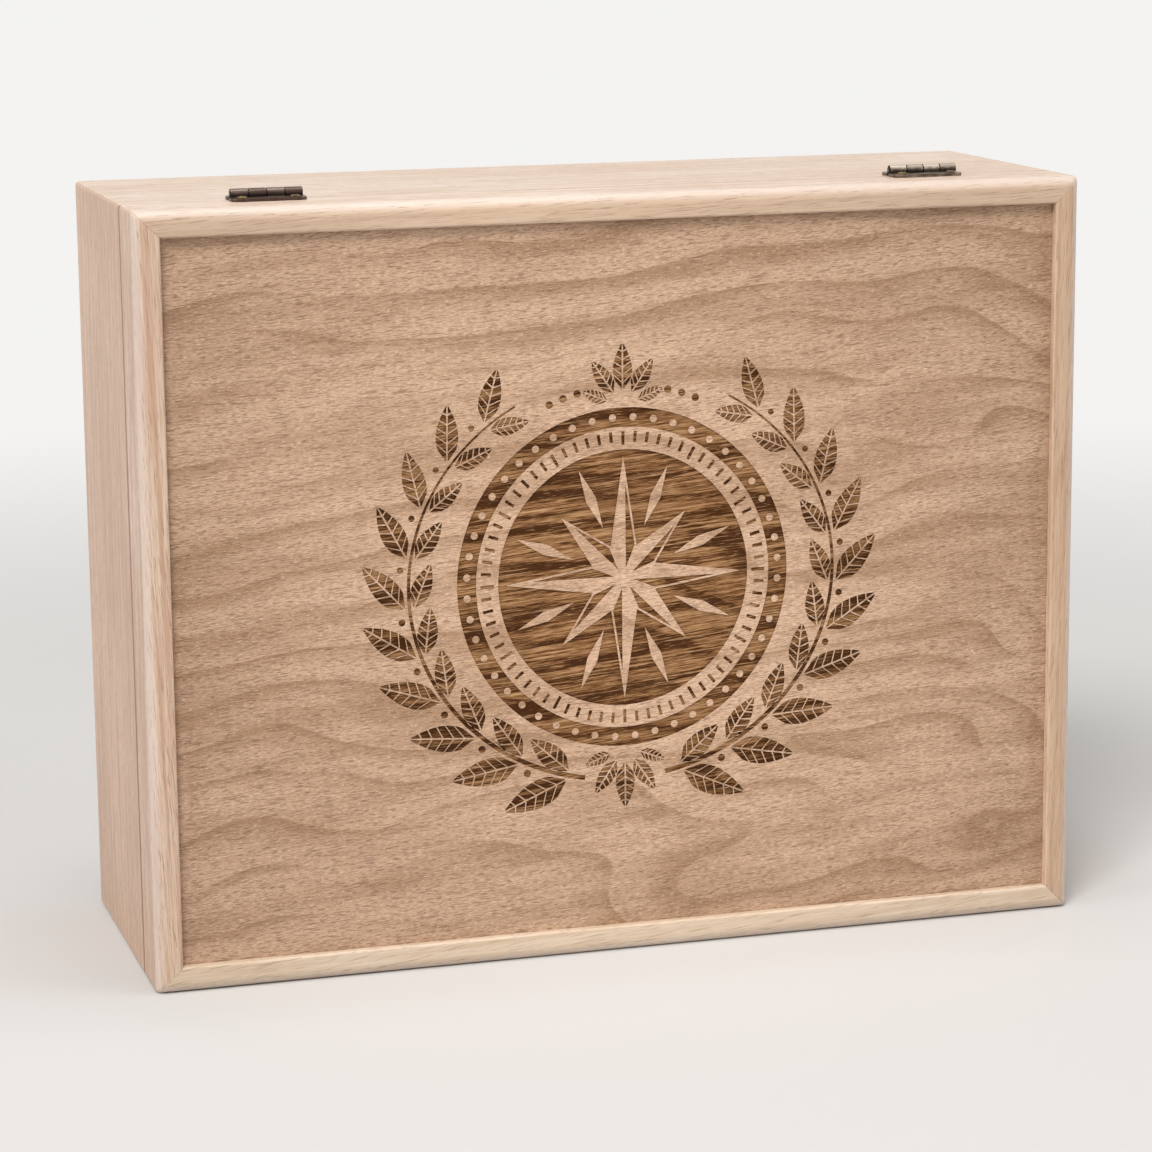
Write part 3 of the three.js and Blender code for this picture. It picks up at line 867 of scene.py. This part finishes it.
def inset_triangle(corners, inset):
    """A triangle drawn in from its sides."""
    a, b, c = corners
    sides = [(b - c).length, (c - a).length, (a - b).length]
    middle = (a * sides[0] + b * sides[1] + c * sides[2]) / sum(sides)
    area = abs((b - a).cross(c - a)) / 2
    share = 1 - inset * sum(sides) / (2 * area)
    return [middle + (corner - middle) * share for corner in corners]


def star_halves():
    """The half of each star point that is burnt."""
    middle = Vector((0, 0))
    return [inset_triangle((middle, *star_corners(step)), STAR_INSET) for step in range(STAR_POINTS)]


def rays():
    """Slim bare lozenges between the points of the star."""
    middle = (RAY_INNER_RADIUS + RAY_OUTER_RADIUS) / 2
    made = []
    for step in range(STAR_POINTS):
        degrees = STAR_PITCH_DEGREES * (step + 0.5)
        side = polar(RAY_HALF_WIDTH, degrees + 90)
        made.append([
            polar(RAY_INNER_RADIUS, degrees),
            polar(middle, degrees) - side,
            polar(RAY_OUTER_RADIUS, degrees),
            polar(middle, degrees) + side,
        ])
    return made


def ticks():
    """Short strokes round the medallion, every sixth one longer."""
    made = []
    for step in range(TICK_COUNT):
        degrees = 360 * step / TICK_COUNT
        inner = TICK_LONG_INNER_RADIUS if step % TICKS_PER_LONG_TICK == 0 else TICK_INNER_RADIUS
        side = polar(TICK_WIDTH / 2, degrees + 90)
        low, high = polar(inner, degrees), polar(TICK_OUTER_RADIUS, degrees)
        made.append([low - side, high - side, high + side, low + side])
    return made


def leaf_half_width(share, width):
    """Half the width of a pointed leaf, at a share of its length."""
    return width / 2 * math.sin(math.pi * share ** LEAF_LEAN_POWER) ** LEAF_BELLY_POWER


def leaf_strips(base, degrees, length, width):
    """The two halves of a leaf, each cut into strips by its veins."""
    forward = polar(1, degrees)
    strips = []
    gap = VEIN_GAP / length / 2
    for side in (-1, 1):
        sideways = polar(side, degrees + 90)
        for vein in range(LEAF_VEINS):
            start = vein / LEAF_VEINS * LEAF_TIP_SHARE + gap
            end = (vein + 1) / LEAF_VEINS * LEAF_TIP_SHARE - gap
            slanted = [s + VEIN_SLANT_SHARE * (1 - s) for s in (start, end)]
            points = []
            for share in (start, end):
                reach = min(MIDRIB_HALF_WIDTH, leaf_half_width(share, width) / 2)
                points.append((share, reach))
            for step in range(LEAF_VEINS):
                share = slanted[1] + (slanted[0] - slanted[1]) * step / (LEAF_VEINS - 1)
                points.append((share, leaf_half_width(share, width)))
            strips.append([base + forward * share * length + sideways * reach for share, reach in points])
    return strips


def stem(share, offset):
    """A point beside a stem, at a share of its length, and the way that the stem heads there."""
    degrees = STEM_START_DEGREES + (STEM_END_DEGREES - STEM_START_DEGREES) * share
    angle = math.radians(degrees)
    outwards = Vector((STEM_RADIUS_UP * math.sin(angle), STEM_RADIUS_ACROSS * math.cos(angle))).normalized()
    place = Vector((STEM_RADIUS_ACROSS * math.sin(angle), STEM_RADIUS_UP * math.cos(angle)))
    heading = math.degrees(math.atan2(outwards.x, outwards.y)) - 90
    return place + outwards * offset, heading


def branch():
    """The right-hand branch of the wreath, from the bottom to near the top."""
    outlines = []
    for pair in range(LEAF_PAIRS):
        share = (pair + LEAF_START_SHARE) / LEAF_PAIRS
        size = 1 - LEAF_TIP_SHRINK * share
        for side, (length, width, degrees) in ((1, OUTER_LEAF), (-1, INNER_LEAF)):
            base, heading = stem(share, side * LEAF_FROM_STEM)
            outlines += leaf_strips(base, heading + side * degrees, length * size, width * size)
        if pair < LEAF_PAIRS - 1:
            centre = stem((pair + LEAF_START_SHARE + BERRY_SHARE) / LEAF_PAIRS, BERRY_FROM_STEM)[0]
            outlines.append(circle(BERRY_RADIUS * size, centre, DOT_STEPS))
    edges = {1: [], -1: []}
    for step in range(STEM_STEPS + 1):
        share = step / STEM_STEPS
        half = STEM_HALF_WIDTH * (1 - (1 - STEM_TIP_SHARE) * share)
        for side, edge in edges.items():
            edge.append(stem(share, side * half)[0])
    outlines.append(edges[1] + edges[-1][::-1])
    return outlines


def fan(degrees):
    """A fan of leaves above or below the medallion."""
    base = polar(FAN_RADIUS, degrees)
    outlines = []
    for spread, length in FAN_LEAVES:
        for turn in {degrees + spread, degrees - spread}:
            start = base + polar(FAN_LEAF_START, turn)
            outlines += leaf_strips(start, turn, length, length * FAN_LEAF_WIDTH_SHARE)
    return outlines


def mirrored(outlines):
    """The same outlines on the left."""
    return [[Vector((-point.x, point.y)) for point in outline] for outline in outlines]


def engraving():
    """The solid that is cut out of the panel."""
    outer = CUT_OVERRUN * 2
    cutter = stamp("cutter", [circle(DISC_RADIUS)], CUT_OVERRUN)
    bare = stamp("bare", [star_outline()] + rays(), outer)
    combine(cutter, bare, "DIFFERENCE")
    band = stamp("band", [circle(BAND_OUTER_RADIUS)], CUT_OVERRUN)
    combine(band, stamp("hole", [circle(BAND_INNER_RADIUS)], outer), "DIFFERENCE")
    beads = []
    for step in range(BEAD_COUNT):
        centre = polar((BAND_INNER_RADIUS + BAND_OUTER_RADIUS) / 2, 360 * (step + 0.5) / BEAD_COUNT)
        beads.append(circle(BEAD_RADIUS, centre, DOT_STEPS))
    combine(band, stamp("beads", beads, outer), "DIFFERENCE")
    combine(cutter, band, "UNION")
    dots = [circle(DOT_RADIUS, polar(DOT_LINE_RADIUS, degrees), DOT_STEPS) for degrees in DOT_DEGREES]
    one_side = branch() + dots
    outlines = star_halves() + ticks() + one_side + mirrored(one_side) + fan(0) + fan(180)
    combine(cutter, stamp("strokes", outlines, CUT_OVERRUN), "UNION")
    return cutter


def add_lid_panel():
    """The lid's panel with the engraving cut out. The floors of the cuts are burnt."""
    low, high = LID_PANEL
    panel = mesh_object("wood_lid_panel", tiled_slab(low, high))
    combine(panel, engraving(), "DIFFERENCE")
    panel.data.materials.clear()
    panel.data.materials.append(panel_wood("panel_wood", LID_PANEL_SEED))
    panel.data.materials.append(burnt_wood("burnt_wood", LID_PANEL_SEED))
    for face in panel.data.polygons:
        if WELD_DISTANCE < face.center.y - low.y < ENGRAVE_DEPTH + WELD_DISTANCE:
            face.material_index = 1
    panel.data.shade_flat()
    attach(panel, "lid")
    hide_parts("lid_panel")


def add_base_panel():
    """The base's panel keeps its CAD shape."""
    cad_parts["base_panel"].data.materials[0] = panel_wood("base_panel_wood", BASE_PANEL_SEED)


# Hinges

def knuckle_section():
    """Section (across, up) of a knuckle: the leaf's sheet rolled round the pin, with the seam left open."""
    outer, inner = [], []
    for step in range(TURN_STEPS + 1):
        angle = CURL_START_ANGLE + (CURL_END_ANGLE - CURL_START_ANGLE) * step / TURN_STEPS
        for side, radius in ((outer, BARREL_RADIUS), (inner, BORE_RADIUS)):
            side.append((radius * math.cos(angle), HINGE_AXIS_HEIGHT + radius * math.sin(angle)))
    return outer + inner[::-1] + [(NOTCH_REACH, LEAF_TOP), (NOTCH_REACH, LEAF_SEAT_GAP)]


def knuckle_ends(cell, gap):
    """Where one of the barrel's cells starts and ends, shortened by a gap."""
    start = -BARREL_LENGTH / 2 + cell * KNUCKLE_PITCH
    return start + gap / 2, start + KNUCKLE_PITCH - gap / 2


def leaf_plate_outline():
    """Outline (along, out from the joint) of a leaf's flat plate, notched for the other leaf's knuckles."""
    half = LEAF_LENGTH / 2
    corners = [(-half, LEAF_REACH, LEAF_CORNER_RADIUS), (-half, LEAF_INNER_REACH, 0)]
    for cell in range(0, KNUCKLE_COUNT, 2):
        low, high = knuckle_ends(cell, -KNUCKLE_GAP)
        corners += [(low, LEAF_INNER_REACH, 0), (low, NOTCH_REACH, 0)]
        corners += [(high, NOTCH_REACH, 0), (high, LEAF_INNER_REACH, 0)]
    corners += [(half, LEAF_INNER_REACH, 0), (half, LEAF_REACH, LEAF_CORNER_RADIUS)]
    return rounded_outline(corners, ROUND_STEPS)


def leaf_mesh(name, material):
    """A hinge leaf in its own frame: the origin is on the wood, on the line where lid and base part."""
    plate = prisms(name, [leaf_plate_outline()], as_drawn, LEAF_SEAT_GAP, LEAF_TOP, material)
    for cell in range(1, KNUCKLE_COUNT, 2):
        ends = knuckle_ends(cell, KNUCKLE_GAP)
        knuckle = prisms("knuckle", [knuckle_section()], lambda y, z, x: (x, y, z), *ends)
        combine(plate, knuckle, "UNION")
    holes = []
    for along in (-SCREW_SPACING / 2, SCREW_SPACING / 2):
        holes.append(circle(SCREW_HOLE_RADIUS, Vector((along, SCREW_REACH)), SCREW_HOLE_STEPS))
    drills = prisms("holes", holes, as_drawn, -CUT_OVERRUN, LEAF_TOP + CUT_OVERRUN)
    combine(plate, drills, "DIFFERENCE")
    bevel(plate, LEAF_BEVEL, LEAF_BEVEL_STEPS)
    return plate


def screw_mesh(name, material):
    """A screw with a domed head and a cross recess; the underside of its head is at zero."""
    rise = SCREW_HEAD_HEIGHT - SCREW_HEAD_RIM
    dome = (SCREW_HEAD_RADIUS ** 2 + rise ** 2) / (2 * rise)
    widest = math.asin(SCREW_HEAD_RADIUS / dome)
    profile = [
        (0, -SCREW_LENGTH),
        (SCREW_SHANK_RADIUS, SCREW_TIP - SCREW_LENGTH),
        (SCREW_SHANK_RADIUS, 0),
        (SCREW_HEAD_RADIUS, 0),
    ]
    for step in range(ROUND_STEPS, 0, -1):
        angle = widest * step / ROUND_STEPS
        profile.append((dome * math.sin(angle), SCREW_HEAD_HEIGHT - dome + dome * math.cos(angle)))
    profile.append((0, SCREW_HEAD_HEIGHT))
    made = lathe(name, profile, SCREW_STEPS, material)
    half_long, half_wide = CROSS_LENGTH / 2, CROSS_WIDTH / 2
    floor = SCREW_HEAD_HEIGHT - CROSS_DEPTH
    for x, y in ((half_long, half_wide), (half_wide, half_long)):
        outline = [(-x, -y), (x, -y), (x, y), (-x, y)]
        cut = prisms("slot", [outline], as_drawn, floor, SCREW_HEAD_HEIGHT + CUT_OVERRUN)
        combine(made, cut, "DIFFERENCE")
    return made


def stand(piece, matrix, body, node):
    """Places a piece and gives it to its body, for the CAD node that it stands for."""
    piece.data.transform(matrix)
    smooth(piece)
    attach(piece, body)
    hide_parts(node)


def add_hinge(side, pin, wears_and_sheens, seed):
    """A hinge round its pin, which keeps its CAD shape and has the lid leaf's metal."""
    brass = screw_brass(f"brass_{side}", seed)
    origin = Matrix.Translation(((pin[0].x + pin[1].x) / 2, PARTING_Y, BOX_HIGH.z))
    for owner, turn, wear_and_sheen in (("base", 0, wears_and_sheens[0]), ("lid", math.pi, wears_and_sheens[1])):
        half = origin @ Matrix.Rotation(turn, 4, "Z")
        node = f"hinge_{side}_{owner}_leaf"
        bronze = aged_bronze(f"bronze_{side}_{owner}", seed, wear_and_sheen)
        stand(leaf_mesh(f"bronze_{node}", bronze), half, owner, node)
        for index in (0, 1):
            node = f"hinge_{side}_{owner}_screw_{index + 1}"
            seat = LEAF_TOP + SCREW_SEAT_GAP
            spot = Matrix.Translation(((index - 0.5) * SCREW_SPACING, SCREW_REACH, seat))
            turned = Matrix.Rotation(math.radians(SCREW_TURN_DEGREES[owner][index]), 4, "Z")
            screw = screw_mesh(f"brass_{node}", brass)
            stand(screw, half @ spot @ turned, owner, node)
    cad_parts[f"hinge_{side}_pin"].data.materials[0] = bronze


def add_magnets():
    """The four discs in the front rims."""
    nickel = magnet_nickel()
    for body in ("lid", "base"):
        for side in ("left", "right"):
            node = f"{body}_magnet_{side}"
            low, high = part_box(node)
            radius, height = (high.x - low.x) / 2, high.y - low.y
            profile = rounded_outline([
                (0, 0, 0), (radius, 0, MAGNET_BEVEL), (radius, height, MAGNET_BEVEL), (0, height, 0),
            ], MAGNET_BEVEL_STEPS)
            disc = lathe(f"nickel_{node}", profile, TURN_STEPS, nickel)
            middle = (low + high) / 2
            place = Matrix.Translation((middle.x, high.y, middle.z))
            lying = Matrix.Rotation(math.radians(90), 4, "X")
            stand(disc, place @ lying, body, node)


# Floor, light and camera

def seen_share(graph):
    """One for what the camera and mirroring surfaces see, and zero for what lights the box."""
    path = graph.node("ShaderNodeLightPath", {}).outputs
    return graph.math("MAXIMUM", path["Is Camera Ray"], path["Is Glossy Ray"])


def add_floor():
    """A pale floor that takes the box's shadow and fades into the background around it."""
    graph = Graph("pale_floor")
    away = graph.vector("LENGTH", graph.place(), output="Value")
    reach = graph.math("DIVIDE", away, FLOOR_FADE_REACH, clamp=True)
    fade = graph.ramp(reach, (FLOOR_FADE_START_SHARE, 0), (1, 1))
    share = graph.math("MULTIPLY", fade, seen_share(graph))
    matt = graph.node("ShaderNodeBsdfDiffuse", {"Color": FLOOR_PALE}).outputs[0]
    glow = graph.node("ShaderNodeEmission", {"Color": BACKGROUND}).outputs[0]
    both = graph.node("ShaderNodeMixShader", {0: share, 1: matt, 2: glow}).outputs[0]
    graph.node("ShaderNodeOutputMaterial", {"Surface": both})
    shape = bmesh.new()
    bmesh.ops.create_circle(shape, cap_ends=True, radius=FLOOR_RADIUS, segments=CIRCLE_STEPS)
    floor = mesh_object("floor", shape, graph.owner)


def add_world():
    """An even pale surround that lights the box and shows as the background."""
    graph = Graph("studio", bpy.data.worlds)
    bpy.context.scene.world = graph.owner
    lighting = graph.node("ShaderNodeBackground", {0: WORLD_TINT, 1: WORLD_STRENGTH}).outputs[0]
    shown = graph.node("ShaderNodeBackground", {0: BACKGROUND, 1: 1.0}).outputs[0]
    both = graph.node("ShaderNodeMixShader", {0: seen_share(graph), 1: lighting, 2: shown}).outputs[0]
    graph.node("ShaderNodeOutputWorld", {0: both})


def add_lamp(name, place, size, power, beam, tint):
    """A square soft lamp that looks at the middle of the lid."""
    light = bpy.data.lights.new(name, "AREA")
    light.shape = "SQUARE"
    light.size = size
    light.energy = power
    light.spread = math.radians(beam)
    light.color = tint
    lamp = new_object(name, light)
    lamp.location = place
    lamp.rotation_euler = (LID_MIDDLE - Vector(place)).to_track_quat("-Z", "Y").to_euler()


def add_camera():
    """The camera that took the photograph: its view turned by yaw, then pitch, then roll."""
    yaw = math.radians(CAMERA_YAW_DEGREES)
    pitch = math.radians(CAMERA_PITCH_DEGREES)
    forward = Vector((math.sin(yaw) * math.cos(pitch), math.cos(yaw) * math.cos(pitch), -math.sin(pitch)))
    right = Vector((math.cos(yaw), -math.sin(yaw), 0))
    up = right.cross(forward)
    roll = Matrix.Rotation(math.radians(CAMERA_ROLL_DEGREES), 4, "Z")
    turned = Matrix((right, up, -forward)).transposed().to_4x4() @ roll
    data = bpy.data.cameras.new("camera")
    data.sensor_fit = "HORIZONTAL"
    data.sensor_width = SENSOR_WIDTH_MM
    data.lens = FOCAL_LENGTH_PX / IMAGE_WIDTH_PX * SENSOR_WIDTH_MM
    data.clip_end = VIEW_REACH
    camera = new_object("camera", data)
    place = CAMERA_FROM_LID_FACE + Vector((0, BOX_LOW.y, 0))
    camera.matrix_world = Matrix.Translation(place) @ turned
    bpy.context.scene.camera = camera


add_camera()
for lamp_settings in LAMPS:
    add_lamp(*lamp_settings)
add_world()
add_floor()
add_boards()
add_lid_panel()
add_base_panel()
for hinge_side, hinge_settings in HINGES.items():
    add_hinge(hinge_side, *hinge_settings)
add_magnets()
bpy.context.scene.view_settings.view_transform = "Standard"
